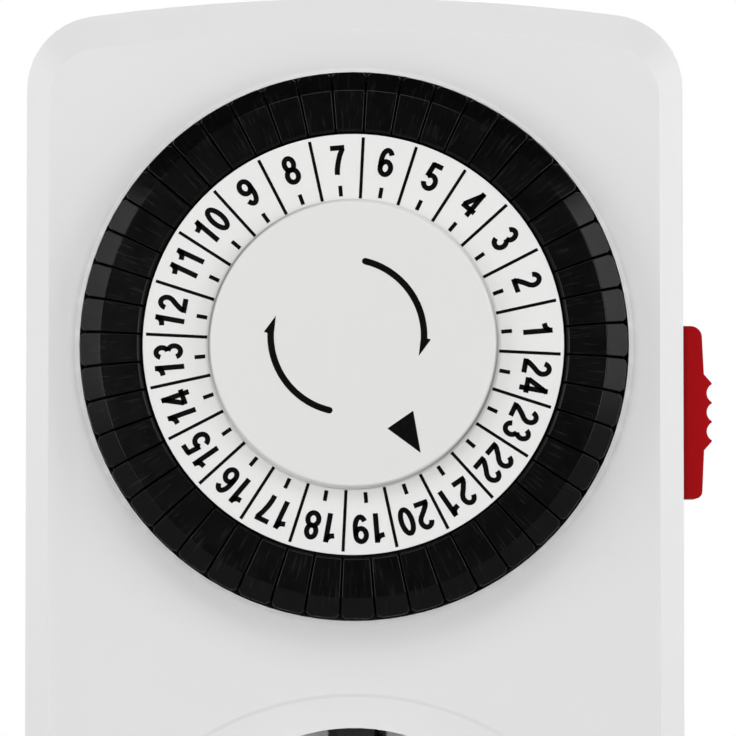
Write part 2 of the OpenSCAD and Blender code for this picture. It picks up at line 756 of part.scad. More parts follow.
module override_slider() color("firebrick") {
    out_x = half_w + slot_gap;
    in_x = half_w - wall - slot_gap;
    end_x = out_x + slider_t - 0.2;
    top_r = 1.25;
    low_r = 0.8;
    rib_h = 0.85;
    rib_pitch = 2.09;
    scoop_r = 1.13;
    scoop_d = 0.55;
    flange_t = 1.6;
    flange_l = 13.5;
    y0 = neck_y + neck_w / 2 - slider_w / 2;
    y1 = y0 + slider_w;
    low = slider_z - slider_l / 2;
    high = low + slider_l;
    slab(y0, y1) {
        polygon(concat([[out_x, high], [out_x, low]],
            [for (a = [-90:10:0]) [end_x - low_r + low_r * cos(a), low + low_r + low_r * sin(a)]],
            [for (side = [-2, 2]) [out_x + slider_t, slider_z + side * rib_pitch]],
            [for (a = [0:10:90]) [end_x - top_r + top_r * cos(a), high - top_r + top_r * sin(a)]]));
        translate([out_x + slider_t, slider_z]) difference() {
            polygon([[-eps, -2 * rib_pitch], [rib_h, -1.53 * rib_pitch], [rib_h, 1.53 * rib_pitch],
                [-eps, 2 * rib_pitch]]);
            for (i = [-1:1]) translate([rib_h + scoop_r - scoop_d, i * rib_pitch])
                circle(r = scoop_r, $fn = 48);
        }
    }
    block([in_x - eps, neck_y, slider_z - neck_l / 2],
        [out_x + eps, neck_y + neck_w, slider_z + neck_l / 2]);
    block([in_x - flange_t, neck_y - 1.5, slider_z - flange_l / 2 + 0.5],
        [in_x, neck_y + neck_w + 2, slider_z + flange_l / 2]);
    block([lever_x + lever_w + 0.9, pushed_y - 1.5, slider_z + 2.8],
        [in_x - flange_t + eps, lever_front_y + 0.2, slider_z + 6.3]);
}

front_cover();
rear_cover();
centre_cap();
dial_axle();
number_ring();
dial_carrier();
dial_gear();
clutch_washer();
chassis_plate();
chassis_screws();
cover_screws();
motor();
motor_pinion();
reduction_gear();
gear_arbor();
switch_lever();
lever_pin();
contact_leaf();
terminal_block();
live_link();
switched_link();
neutral_link();
live_socket_contact();
neutral_socket_contact();
contact_block();
earth_strip();
plug_earth_clips();
live_pin();
neutral_pin();
socket_cup();
shutter();
shutter_spring();
override_slider();
hour_tappets(1);  // hour_01_tappets
hour_tappets(2);  // hour_02_tappets
hour_tappets(3);  // hour_03_tappets
hour_tappets(4);  // hour_04_tappets
hour_tappets(5);  // hour_05_tappets
hour_tappets(6);  // hour_06_tappets
hour_tappets(7);  // hour_07_tappets
hour_tappets(8);  // hour_08_tappets
hour_tappets(9);  // hour_09_tappets
hour_tappets(10);  // hour_10_tappets
hour_tappets(11);  // hour_11_tappets
hour_tappets(12);  // hour_12_tappets
hour_tappets(13);  // hour_13_tappets
hour_tappets(14);  // hour_14_tappets
hour_tappets(15);  // hour_15_tappets
hour_tappets(16);  // hour_16_tappets
hour_tappets(17);  // hour_17_tappets
hour_tappets(18);  // hour_18_tappets
hour_tappets(19);  // hour_19_tappets
hour_tappets(20);  // hour_20_tappets
hour_tappets(21);  // hour_21_tappets
hour_tappets(22);  // hour_22_tappets
hour_tappets(23);  // hour_23_tappets
hour_tappets(24);  // hour_24_tappets
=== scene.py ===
"""The finish of a plug-in timer switch, built round its packed construction.

Metres, with X to the right, Y to the back and Z up.
"""

import json
import math

import bmesh
import bpy
from mathutils import Matrix, Vector


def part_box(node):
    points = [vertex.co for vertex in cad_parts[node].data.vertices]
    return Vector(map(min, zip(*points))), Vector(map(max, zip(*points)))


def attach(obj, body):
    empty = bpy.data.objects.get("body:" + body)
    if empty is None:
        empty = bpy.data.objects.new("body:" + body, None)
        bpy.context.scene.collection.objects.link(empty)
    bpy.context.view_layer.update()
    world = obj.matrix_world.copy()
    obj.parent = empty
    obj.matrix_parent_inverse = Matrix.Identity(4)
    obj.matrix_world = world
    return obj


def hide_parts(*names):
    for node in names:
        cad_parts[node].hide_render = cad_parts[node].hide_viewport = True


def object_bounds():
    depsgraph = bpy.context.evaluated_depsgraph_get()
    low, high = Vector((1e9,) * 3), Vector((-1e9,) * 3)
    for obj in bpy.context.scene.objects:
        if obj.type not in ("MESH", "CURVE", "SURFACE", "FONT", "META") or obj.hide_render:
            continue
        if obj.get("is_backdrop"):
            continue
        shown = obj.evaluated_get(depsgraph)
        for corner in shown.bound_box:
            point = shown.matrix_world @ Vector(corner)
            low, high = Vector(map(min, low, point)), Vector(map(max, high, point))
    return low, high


MM = 0.001

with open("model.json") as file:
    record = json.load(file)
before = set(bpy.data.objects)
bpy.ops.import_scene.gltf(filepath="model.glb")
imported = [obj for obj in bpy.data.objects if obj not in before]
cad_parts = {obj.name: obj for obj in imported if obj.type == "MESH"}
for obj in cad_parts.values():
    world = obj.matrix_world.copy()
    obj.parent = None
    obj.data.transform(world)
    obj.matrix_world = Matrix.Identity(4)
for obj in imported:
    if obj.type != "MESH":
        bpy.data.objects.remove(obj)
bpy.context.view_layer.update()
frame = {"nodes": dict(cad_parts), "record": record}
bodies = frame["record"]["behaviour"]["bodies"]
body_of_node = {node: body for body, nodes in bodies.items() for node in nodes}

# ---------------------------------------------------------------- places and sizes

# taken from the construction
cap_low, cap_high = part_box("centre_cap")
ring_low, ring_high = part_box("number_ring")
housing_low, housing_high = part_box("front_cover")
LIP_H = 0.35 * MM
DIAL_X = (cap_low.x + cap_high.x) / 2
DIAL_Z = (cap_low.z + cap_high.z) / 2
CAP_FACE_Y = cap_low.y
CAP_R = (cap_high.x - cap_low.x) / 2
RING_FACE_Y = ring_low.y
RING_R = (ring_high.x - ring_low.x) / 2
FACE_Y = housing_low.y + LIP_H

# the relief on the front cover: how far from its face it reaches, and the shares of it that show
RELIEF_T = 0.4 * MM
LIP_SHARE = 0.5
SINK_SHARE = 0.25

# the slope of the sunk arch: its centre, and how far each of its edges moves outwards
ARCH_Z = DIAL_Z - 69.5 * MM
ARCH_EDGES = ((32 * MM, 0.2 * MM), (31.4 * MM, 0.42 * MM))
ARCH_TOL = 0.1 * MM

# the leaf's domed rivet: the height of its dome, and its middle's clearance from the fixed rivet
DOME_H = 0.13 * MM
DOME_GAP = 0.015 * MM

# how a node's mesh is cleaned before its edges are rounded; angles in degrees
MERGE_TOL = 0.0005 * MM
RIVET_TOL = 0.001 * MM
FLAT_ANGLE = 0.4
SHARP_ANGLE = 32.0
COVER_SHARP_ANGLE = 8.0
EDGE_STEPS = 3

# the radius of the rounded edges, in millimetres
COVER_EDGE_R = 0.25
TAPPET_EDGE_R = 0.1
EDGE_R = {
    "rear_cover": 0.25,
    "socket_cup": 0.2,
    "centre_cap": 0.12,
    "number_ring": 0.06,
    "dial_carrier": 0.08,
    "override_slider": 0.22,
    "earth_strip": 0.1,
    "plug_earth_clips": 0.15,
    "live_pin": 0.1,
    "neutral_pin": 0.1,
    "cover_screws": 0.08,
    "shutter": 0.1,
}

# the dial's print: the line between the hours 6 and 7 is at the top, turned on by the phase in degrees
HOURS = 24
HOUR_AT_TOP = 6.5
DIAL_PHASE = 2.8
INK_T = 0.02 * MM
HOUR_LINE_IN = CAP_R + 0.1 * MM
HOUR_LINE_OUT = RING_R - 0.35 * MM
HOUR_LINE_W = 0.34 * MM
HALF_LINE_IN = CAP_R + 0.35 * MM
HALF_LINE_OUT = CAP_R + 1.5 * MM
HALF_LINE_W = 0.42 * MM
DIGIT_R = 19.75 * MM
DIGIT_H = 3.15 * MM

# numerals as strokes in a frame one unit high; curves go in steps of so many degrees, and the least
# cosine keeps a sharp mitre short
DIGIT_W = 0.53
ONE_W = 0.34
STROKE_W = 0.175
GAP = 0.1
GAP_AT_ONE = 0.19
CURVE_STEP = 12
MITRE_COS = 0.5
SAME_POINT = 1e-6

# the cap's print, in millimetres; angles in degrees, clockwise from the top
ARROW_CENTRE = (-0.6, 0.84)
ARROW_R = 8.17
ARROW_W = 0.7
ARROW_START = 13.5
ARROW_END = 92.0
ARROW_STEPS = 24
TAIL_STEPS = 6
ARROW_HEAD = [(8.9, -0.41), (7.61, -2.15)]
POINTER = [(6.41, -7.15), (7.2, -11.64), (3.66, -9.04)]

# the camera, with its angles in degrees
FRAME_W = 79.15 * MM
SENSOR = 36.0
CAMERA_DISTANCE = 0.5
CAMERA_TILT = 2.5
CAMERA_YAW = 1.0
CAMERA_NEAR = 0.01
AIM = Vector((1.51 * MM, FACE_Y, DIAL_Z - 2.38 * MM))

# each light's place from the middle of the dial, its size and its power in watts; a side light is a
# pair, with the place of the right one
SIDE_LIGHTS = {
    "front_box": ((0.41, -1.12, 0.06), (0.34, 0.34), {"left": 2.98, "right": 2.98}),
    "side_panel": ((0.55, -0.245, 0.15), (0.32, 0.5), {"left": 1.5, "right": 1.5}),
    "edge_box": ((0.6, 0.08, 0.05), (0.3, 0.4), {"left": 0.6, "right": 0.84}),
}
MIDDLE_LIGHTS = {
    "top_box": ((0, -0.39, 0.588), (0.5, 0.25), 1.3),
    "back_box": ((-0.3, 1.1, 0.3), (0.6, 0.6), 5.0),
}
SURROUND_LIGHT = 0.03
FLOOR_HALF = 0.6
FLOOR_GAP = 0.2 * MM


# ---------------------------------------------------------------- shader maths


class Value:
    """A shader socket that can be used in plain arithmetic."""

    def __init__(self, paint, socket):
        self.paint = paint
        self.socket = socket

    def _math(self, operation, a, b):
        return self.paint.add("ShaderNodeMath", {"operation": operation}, {0: a, 1: b})

    def __add__(self, other):
        return self._math("ADD", self, other)

    def __radd__(self, other):
        return self._math("ADD", other, self)

    def __sub__(self, other):
        return self._math("SUBTRACT", self, other)

    def __rsub__(self, other):
        return self._math("SUBTRACT", other, self)

    def __mul__(self, other):
        return self._math("MULTIPLY", self, other)

    def __rmul__(self, other):
        return self._math("MULTIPLY", other, self)


class Paint:
    """One material and its node tree."""

    def __init__(self, name):
        self.material = bpy.data.materials.new(name)
        self.material.use_nodes = True
        self.tree = self.material.node_tree
        self.tree.nodes.clear()
        self.shader = self.tree.nodes.new("ShaderNodeBsdfPrincipled")
        out = self.tree.nodes.new("ShaderNodeOutputMaterial")
        self.tree.links.new(self.shader.outputs[0], out.inputs[0])
        self.place = self.add("ShaderNodeTexCoord", {}, {}, "Object")

    def add(self, kind, settings, sockets, output=0):
        """A new node with its settings, and values or links for its sockets; gives one output."""
        node = self.tree.nodes.new(kind)
        for key, value in settings.items():
            if key == "stops":
                for stop, (at, level) in zip(node.color_ramp.elements, value):
                    stop.position = at
                    stop.color = (*grey(level), 1)
            else:
                setattr(node, key, value)
        for key, value in sockets.items():
            self.feed(node.inputs[key], value)
        return Value(self, node.outputs[output])

    def feed(self, socket, value):
        if isinstance(value, Value):
            self.tree.links.new(value.socket, socket)
        else:
            socket.default_value = value

    def set(self, **sockets):
        """Values or links for the sockets of the shader."""
        for name, value in sockets.items():
            self.feed(self.shader.inputs[name.replace("_", " ")], value)

    def axes(self):
        """The place on the object as three numbers."""
        node = self.add("ShaderNodeSeparateXYZ", {}, {0: self.place}).socket.node
        return [Value(self, socket) for socket in node.outputs]

    def polar(self):
        """The turn round the dial's axis, in radians clockwise from the top, and the distance to it."""
        x, _, z = self.axes()
        x, z = x - DIAL_X, z - DIAL_Z
        turn = self.add("ShaderNodeMath", {"operation": "ARCTAN2"}, {0: x, 1: z})
        return turn, self.add("ShaderNodeMath", {"operation": "SQRT"}, {0: x * x + z * z})

    def noise(self, size, detail=3.0, stretch=(1, 1, 1)):
        """Noise whose features are about size metres long, from 0 to 1."""
        place = self.add("ShaderNodeMapping", {}, {"Vector": self.place, "Scale": stretch})
        sockets = {"Vector": place, "Scale": 1 / size, "Detail": detail}
        return self.add("ShaderNodeTexNoise", {}, sockets)

    def grain(self, size, depth, detail=4.0, stretch=(1, 1, 1)):
        """Fine noise that also stands out from the surface by its depth."""
        fine = self.noise(size, detail, stretch)
        self.set(Normal=self.add("ShaderNodeBump", {}, {"Height": fine, "Distance": depth}))
        return fine

    def climb(self, value, start, end):
        """0 up to the start and 1 from the end on; both lie between 0 and 1."""
        return self.add("ShaderNodeValToRGB", {"stops": ((start, 0.0), (end, 1.0))}, {0: value})

    def mix(self, factor, a, b):
        """A colour between two others, each of them a value or three numbers."""
        a, b = (c if isinstance(c, Value) else (*c, 1) for c in (a, b))
        return self.add("ShaderNodeMix", {"data_type": "RGBA"}, {0: factor, 6: a, 7: b}, 2)


def grey(level):
    return level, level, level


def shade(colour, factor):
    return tuple(min(1.0, c * factor) for c in colour)


def about(middle, wave, spread):
    """A value that follows noise, up to half the spread to each side of its middle."""
    return middle + (wave - 0.5) * spread


# ---------------------------------------------------------------- finishes

MOULD_GRAIN = 0.18 * MM
MOULD_DEPTH = 0.004 * MM
MOULD_CLOUD = 9 * MM
GLOSS_SPREAD = 0.08
# the pale streaks on the tappets, partly rub marks and partly painted highlights: features per radian
# across and per metre along the radius
RUB_HIGHLIGHTS_PER_RADIAN = 90.0
RUB_HIGHLIGHTS_PER_METRE = 0.35 / MM
# the turn, in radians, at which the painted shadow inside the cap's rim is darkest
RIM_SHADOW_TURN = math.radians(112.0)


def moulded(name, colour, rough, spread=0.02):
    """Moulded plastic: slightly uneven tone and gloss, and the fine grain of a spark-eroded mould."""
    paint = Paint(name)
    cloud = paint.noise(MOULD_CLOUD, 2.0)
    fine = paint.grain(MOULD_GRAIN, MOULD_DEPTH)
    paint.set(Base_Color=paint.mix(cloud, shade(colour, 1 - spread), shade(colour, 1 + spread)))
    paint.set(Roughness=about(rough, fine, GLOSS_SPREAD))
    return paint.material


def cap_plastic():
    """White moulding, with a painted shadow: a grey line inside its rim, strongest at two opposite
    sides.
    """
    paint = Paint("cap_white")
    cloud = paint.noise(MOULD_CLOUD, 2.0)
    fine = paint.grain(MOULD_GRAIN, MOULD_DEPTH)
    turn, reach = paint.polar()
    # painted shadow: a dark line along the cap's rim, strongest at two opposite sides
    side = paint.add("ShaderNodeMath", {"operation": "COSINE"}, {0: (turn - RIM_SHADOW_TURN) * 2.0})
    # 0 at a millimetre inside the rim and 1 at the rim
    near_rim = (reach - CAP_R) * (1 / MM) + 1.0
    rim = paint.climb(near_rim, 0.64, 0.84)
    tone = paint.mix(cloud, (0.742, 0.747, 0.727), (0.748, 0.753, 0.733))
    tone = paint.mix(rim * (0.42 + side * 0.36), tone, grey(0.05))
    paint.set(Base_Color=tone, Roughness=about(0.4, fine, GLOSS_SPREAD))
    return paint.material


def slider_plastic():
    """Glossy red, with painted shade: darker where the slider meets the body's side."""
    paint = Paint("slider_red")
    cloud = paint.noise(2 * MM)
    fine = paint.grain(MOULD_GRAIN, 0.001 * MM)
    millimetres_out = (paint.axes()[0] - housing_high.x) * (1 / MM)
    # painted shade: the red darkens towards the body's side, from a millimetre out from it inwards
    painted_lit = paint.climb(millimetres_out, 0.3, 1.0)
    tone = paint.mix(painted_lit * 0.85 + cloud * 0.15, (0.2, 0.001, 0.003), (0.425, 0.0016, 0.004))
    paint.set(Base_Color=tone, Roughness=about(0.17, fine, GLOSS_SPREAD), IOR=1.3)
    return paint.material


def tappet_plastic():
    """Black moulding with pale streaks along the dial's radius, partly rub marks and partly painted
    highlights, and a fine grain.
    """
    paint = Paint("tappet_black")
    cloud = paint.noise(2.5 * MM)
    paint.grain(0.12 * MM, 0.002 * MM)
    turn, reach = paint.polar()
    lines = {0: turn * RUB_HIGHLIGHTS_PER_RADIAN, 1: reach * RUB_HIGHLIGHTS_PER_METRE}
    sockets = {"Vector": paint.add("ShaderNodeCombineXYZ", {}, lines), "Scale": 1.0, "Detail": 3.0}
    # pale radial streaks: partly rub marks, partly painted highlights for light caught on the tappets'
    # edges
    rub_and_highlight = paint.climb(paint.add("ShaderNodeTexNoise", {}, sockets), 0.56, 0.78)
    tone = paint.mix(cloud, grey(0.0012), (0.0026, 0.0025, 0.0024))
    tone = paint.mix(rub_and_highlight * 0.6, tone, grey(0.016))
    paint.set(Base_Color=tone, Roughness=about(0.17, cloud, 0.1) + rub_and_highlight * 0.06, IOR=1.27)
    return paint.material


def metal(name, colour, rough, streak, depth=0.002 * MM, graze=1.0):
    """Plated or bare metal, with lines drawn along the axis where streak is small.

    graze is how bright the metal is where it is seen at a flat angle.
    """
    paint = Paint(name)
    cloud = paint.noise(4 * MM)
    lines = paint.grain(0.25 * MM, depth, 5.0, streak)
    paint.set(Base_Color=paint.mix(cloud, shade(colour, 0.9), shade(colour, 1.05)), Metallic=1.0)
    paint.set(Roughness=about(rough, lines, 0.2), Specular_Tint=(*grey(graze), 1))
    return paint.material


def ink():
    """Pad-printed black ink, a little uneven in tone and gloss."""
    paint = Paint("print_ink")
    cloud = paint.noise(0.5 * MM)
    paint.set(Base_Color=paint.mix(cloud, grey(0.0015), grey(0.004)))
    paint.set(Roughness=about(0.18, cloud, GLOSS_SPREAD), IOR=1.25)
    return paint.material


def floor_paint():
    """A pale, matt studio floor."""
    paint = Paint("floor_pale")
    tone = paint.mix(paint.noise(50 * MM, 2.0), grey(0.53), grey(0.55))
    paint.set(Base_Color=tone, Roughness=0.7)
    return paint.material


FINISHES = {
    "housing": moulded("housing_white", (0.75, 0.75, 0.752), 0.42, spread=0.006),
    "white_cap": cap_plastic(),
    "number_print": moulded("number_white", (0.8, 0.8, 0.79), 0.45, spread=0.012),
    "axle_plastic": moulded("axle_grey", (0.04, 0.04, 0.042), 0.4),
    "dial_black": moulded("carrier_black", grey(0.007), 0.5),
    "tappet_black": tappet_plastic(),
    "gear_plastic": moulded("gear_acetal", (0.72, 0.67, 0.55), 0.35),
    "spring_steel": metal("spring_steel", (0.55, 0.55, 0.56), 0.25, (1, 1, 0.1)),
    "plated_steel": metal("plated_steel", (0.62, 0.61, 0.58), 0.35, (1, 1, 0.05)),
    "screw_steel": metal("screw_steel", (0.58, 0.57, 0.54), 0.3, (1, 0.1, 1)),
    "lever_plastic": moulded("lever_orange", (0.62, 0.25, 0.03), 0.4),
    "copper_alloy": metal("spring_copper", (0.72, 0.4, 0.24), 0.28, (1, 1, 0.1)),
    "terminal_plastic": moulded("terminal_brown", (0.06, 0.032, 0.02), 0.38),
    "brass_strip": metal("stamped_brass", (0.7, 0.52, 0.2), 0.3, (0.1, 1, 1)),
    # painted shade: the earth strip's near-black colour and dimmed grazing reflection stand in for the
    # shade inside the socket's recess
    "earth_steel": metal("earth_plating_painted_dark", (0.09, 0.09, 0.088), 0.32, (1, 0.08, 1), graze=0.35),
    "pin_nickel": metal("pin_nickel", (0.66, 0.65, 0.61), 0.16, (1, 0.03, 1), 0.0008 * MM),
    "shutter_plastic": moulded("shutter_grey", (0.22, 0.22, 0.23), 0.45),
    "slider_red": slider_plastic(),
}
INK = ink()


# ---------------------------------------------------------------- nodes of the construction


def link(name, data):
    """A new object in the scene for a mesh, a light or a camera."""
    thing = bpy.data.objects.new(name, data)
    bpy.context.scene.collection.objects.link(thing)
    return thing


def paint_nodes():
    """Every construction node takes the finish of its slot."""
    for part in frame["record"]["subparts"]:
        mesh = frame["nodes"][part["node"]].data
        mesh.materials.clear()
        mesh.materials.append(FINISHES[part["material_slot"]])


def soften_relief(shape):
    """The cover's lips and its sunk arch at part of their depth, with a narrower slope on the arch."""
    for vert in shape.verts:
        rise = vert.co.y - FACE_Y
        if abs(rise) > RELIEF_T:
            continue
        vert.co.y = FACE_Y + rise * (SINK_SHARE if rise > 0 else LIP_SHARE)
        up = vert.co.z - ARCH_Z
        reach = math.hypot(vert.co.x, up)
        for edge_reach, lift in ARCH_EDGES:
            if up > 0 and abs(reach - edge_reach) < ARCH_TOL:
                vert.co.z += up / reach * lift


def dress(node, edge_r=0.0, sharp_angle=SHARP_ANGLE, reshape=None):
    """A node's own shape as one smooth mesh in its place, its edges rounded by edge_r millimetres."""
    mesh = frame["nodes"][node].data.copy()
    shape = bmesh.new()
    shape.from_mesh(mesh)
    bmesh.ops.remove_doubles(shape, verts=shape.verts, dist=MERGE_TOL)
    if reshape:
        reshape(shape)
    flat = math.radians(FLAT_ANGLE)
    bmesh.ops.dissolve_limit(
        shape, angle_limit=flat, verts=shape.verts, edges=shape.edges, delimit={"NORMAL"}
    )
    limit = math.radians(sharp_angle)
    for edge in shape.edges:
        edge.smooth = len(edge.link_faces) == 2 and edge.calc_face_angle(0) <= limit
    for face in shape.faces:
        face.smooth = True
    shape.to_mesh(mesh)
    shape.free()
    piece = link(node + "_finished", mesh)
    if edge_r:
        bevel = piece.modifiers.new("soft_edges", "BEVEL")
        bevel.width = edge_r * MM
        bevel.segments = EDGE_STEPS
        bevel.limit_method = "ANGLE"
        bevel.angle_limit = limit
        bevel.harden_normals = True
        bevel.use_clamp_overlap = True
    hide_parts(node)
    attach(piece, body_of_node[node])
    return piece


def domed_contact():
    """The leaf with a domed rivet, whose middle meets the fixed rivet while the leaf is tilted."""
    mesh = dress("contact_leaf").data
    shape = bmesh.new()
    shape.from_mesh(mesh)
    front = min(vert.co.y for vert in shape.verts)
    faces = [f for f in shape.faces if all(v.co.y - front < RIVET_TOL for v in f.verts)]
    if len(faces) > 1:
        faces = bmesh.ops.dissolve_faces(shape, faces=faces)["region"]
    rim = list(faces[0].verts)
    middle = bmesh.ops.poke(shape, faces=faces)["verts"]
    for verts, drop in ((rim, DOME_H), (middle, DOME_GAP)):
        for vert in verts:
            vert.co.y += drop
    for face in shape.faces:
        face.smooth = True
    shape.to_mesh(mesh)
    shape.free()


# ---------------------------------------------------------------- print on the number ring


def mark_tree():
    """Geometry Nodes: bars of ink that stand on a circle, pointing outwards."""
    tree = bpy.data.node_groups.new("ring_of_marks", "GeometryNodeTree")
    face = tree.interface
    for label, kind in (
        ("Count", "NodeSocketInt"),
        ("Inner Radius", "NodeSocketFloat"),
        ("Outer Radius", "NodeSocketFloat"),
        ("Width", "NodeSocketFloat"),
        ("Thickness", "NodeSocketFloat"),
        ("Turn", "NodeSocketFloat"),
        ("Material", "NodeSocketMaterial"),
    ):
        face.new_socket(label, in_out="INPUT", socket_type=kind)
    face.new_socket("Geometry", in_out="OUTPUT", socket_type="NodeSocketGeometry")
    given = tree.nodes.new("NodeGroupInput").outputs
    result = tree.nodes.new("NodeGroupOutput")

    def wire(kind, sockets=(), **settings):
        """A node's first output, from its settings and the numbers or links of its sockets."""
        step = tree.nodes.new(kind)
        for key, value in settings.items():
            setattr(step, key, value)
        for key, value in dict(sockets).items():
            if isinstance(value, (int, float)):
                step.inputs[key].default_value = value
            else:
                tree.links.new(value, step.inputs[key])
        return step.outputs[0]

    def calc(operation, a, b):
        return wire("ShaderNodeMath", {0: a, 1: b}, operation=operation)

    inner, outer = given["Inner Radius"], given["Outer Radius"]
    length = calc("SUBTRACT", outer, inner)
    size = wire("ShaderNodeCombineXYZ", {0: given["Width"], 1: given["Thickness"], 2: length})
    bar = wire("GeometryNodeMeshCube", {"Size": size})
    lift = wire("ShaderNodeCombineXYZ", {2: calc("MULTIPLY", calc("ADD", outer, inner), 0.5)})
    raised = wire("GeometryNodeTransform", {"Geometry": bar, "Translation": lift})
    points = wire("GeometryNodePoints", {"Count": given["Count"]})
    share = calc("DIVIDE", wire("GeometryNodeInputIndex"), given["Count"])
    turn = calc("ADD", calc("MULTIPLY", share, math.tau), given["Turn"])
    spin = wire("ShaderNodeCombineXYZ", {1: turn})
    placing = {"Points": points, "Instance": raised, "Rotation": spin}
    bars = wire("GeometryNodeInstanceOnPoints", placing)
    real = wire("GeometryNodeRealizeInstances", {"Geometry": bars})
    inked = wire("GeometryNodeSetMaterial", {"Geometry": real, "Material": given["Material"]})
    tree.links.new(inked, result.inputs[0])
    return tree


def plain_mesh(name, source):
    """A finished copy of an object, with what its modifiers make of it."""
    graph = bpy.context.evaluated_depsgraph_get()
    mesh = bpy.data.meshes.new_from_object(source.evaluated_get(graph))
    bpy.data.objects.remove(source)
    return link(name, mesh)


def ring_of_marks(name, tree, inner, outer, width, turn):
    """Marks round the number ring's face, turned by so many degrees."""
    source = link(name + "_source", bpy.data.meshes.new(name + "_source"))
    grow = source.modifiers.new("marks", "NODES")
    grow.node_group = tree
    values = {
        "Count": HOURS,
        "Inner Radius": inner,
        "Outer Radius": outer,
        "Width": width,
        "Thickness": INK_T,
        "Turn": math.radians(turn),
        "Material": INK,
    }
    for item in tree.interface.items_tree:
        if item.in_out == "INPUT":
            grow[item.identifier] = values[item.name]
    piece = plain_mesh(name, source)
    piece.data.transform(Matrix.Translation((DIAL_X, RING_FACE_Y - INK_T / 2, DIAL_Z)))
    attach(piece, "dial")


def arc(cu, cv, ru, rv, start, end):
    """Points along an ellipse, angles in degrees from the right."""
    steps = max(4, round(abs(end - start) / CURVE_STEP))
    turns = [math.radians(start + (end - start) * i / steps) for i in range(steps + 1)]
    return [(cu + ru * math.cos(a), cv + rv * math.sin(a)) for a in turns]


def half_turned(strokes):
    return [[(DIGIT_W - u, 1 - v) for u, v in path] for path in strokes]


SIX = [
    arc(0.268, 0.305, 0.178, 0.22, 0, 360),
    arc(0.272, 0.55, 0.182, 0.365, 35, 180) + [(0.088, 0.44), (0.09, 0.3)],
]
NUMERALS = {
    "0": [arc(0.265, 0.5, 0.18, 0.415, 0, 360)],
    "1": [
        [(0.255, 0.0), (0.255, 1.0)],
        [(0.0, 0.735), (0.13, 0.765), (0.215, 0.83), (0.25, 0.93)],
    ],
    "2": [
        arc(0.265, 0.69, 0.18, 0.225, 170, -15)
        + [(0.39, 0.53), (0.26, 0.38), (0.13, 0.2), (0.1, 0.085)],
        [(0.015, 0.085), (0.5, 0.085)],
    ],
    "3": [arc(0.25, 0.715, 0.165, 0.2, 160, -80), arc(0.255, 0.3, 0.19, 0.215, 80, -165)],
    "4": [[(0.37, 0.02), (0.37, 1.0)], [(0.0, 0.27), (0.53, 0.27)], [(0.4, 0.96), (0.06, 0.3)]],
    "5": [
        [(0.12, 0.915), (0.47, 0.915)],
        [(0.155, 0.97), (0.1, 0.47)],
        arc(0.25, 0.315, 0.195, 0.23, 140, -165),
    ],
    "6": SIX,
    "7": [
        [(0.025, 0.915), (0.51, 0.915)],
        [(0.44, 0.88), (0.335, 0.66), (0.26, 0.42), (0.215, 0.2), (0.2, 0.0)],
    ],
    "8": [arc(0.265, 0.71, 0.155, 0.205, 0, 360), arc(0.265, 0.3, 0.185, 0.215, 0, 360)],
    "9": half_turned(SIX),
}


def ribbon(path, width):
    """The two sides of a stroke along a path, with mitred joints, and whether it runs round."""
    closed = math.dist(path[0], path[-1]) < SAME_POINT
    if closed:
        path = path[:-1]
    count = len(path)
    sides = []
    for i, (u, v) in enumerate(path):
        before = path[i - 1] if closed or i else path[i]
        after = path[(i + 1) % count] if closed or i < count - 1 else path[i]
        du, dv = after[0] - before[0], after[1] - before[1]
        size = math.hypot(du, dv)
        reach = width / 2
        if before != path[i] and after != path[i]:
            su, sv = after[0] - u, after[1] - v
            reach /= max(MITRE_COS, (su * du + sv * dv) / (size * math.hypot(su, sv)))
        nu, nv = -dv / size * reach, du / size * reach
        sides.append(((u + nu, v + nv), (u - nu, v - nv)))
    return sides, closed


def on_ring(u, v, turn):
    """A place on the number ring's face, from the frame of a numeral that is turned to its hour."""
    x = u * DIGIT_H
    z = DIGIT_R + (v - 0.5) * DIGIT_H
    along = x * math.cos(turn) + z * math.sin(turn)
    up = z * math.cos(turn) - x * math.sin(turn)
    return DIAL_X + along, RING_FACE_Y, DIAL_Z + up


def raise_ink(shape, faces):
    """A flat patch becomes a thin layer."""
    solid = bmesh.ops.extrude_face_region(shape, geom=faces)
    moved = [v for v in solid["geom"] if isinstance(v, bmesh.types.BMVert)]
    bmesh.ops.translate(shape, verts=moved, vec=(0, -INK_T, 0))


def print_stroke(shape, path, left, turn):
    """One stroke of a numeral, whose frame starts at left."""
    sides, closed = ribbon(path, STROKE_W)
    rows = [[shape.verts.new(on_ring(left + u, v, turn)) for u, v in pair] for pair in sides]
    following = rows[1:] + rows[:1] if closed else rows[1:]
    faces = [shape.faces.new((a[0], b[0], b[1], a[1])) for a, b in zip(rows, following)]
    raise_ink(shape, faces)


def print_number(shape, text, turn):
    """A number on the dial's ring, its top to the rim."""
    widths = [ONE_W if digit == "1" else DIGIT_W for digit in text]
    gap = GAP_AT_ONE if "1" in text else GAP
    left = -(sum(widths) + gap * (len(text) - 1)) / 2
    for digit, width in zip(text, widths):
        for path in NUMERALS[digit]:
            print_stroke(shape, path, left, turn)
        left += width + gap


def ink_piece(name, shape, body):
    """A finished layer of ink."""
    bmesh.ops.recalc_face_normals(shape, faces=shape.faces)
    bmesh.ops.triangulate(shape, faces=[f for f in shape.faces if len(f.verts) > 4])
    mesh = bpy.data.meshes.new(name)
    shape.to_mesh(mesh)
    shape.free()
    mesh.materials.append(INK)
    piece = link(name, mesh)
    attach(piece, body)


def dial_numbers():
    """The hours 1 to 24, counter-clockwise."""
    shape = bmesh.new()
    for hour in range(1, HOURS + 1):
        turn = math.radians(DIAL_PHASE + (HOUR_AT_TOP - hour) * 360 / HOURS)
        print_number(shape, str(hour), turn)
    ink_piece("dial_numbers", shape, "dial")


# ---------------------------------------------------------------- print on the cap


def clock(radius, turn):
    """A place at a distance and a turn, in radians clockwise from the top."""
    return radius * math.sin(turn), radius * math.cos(turn)


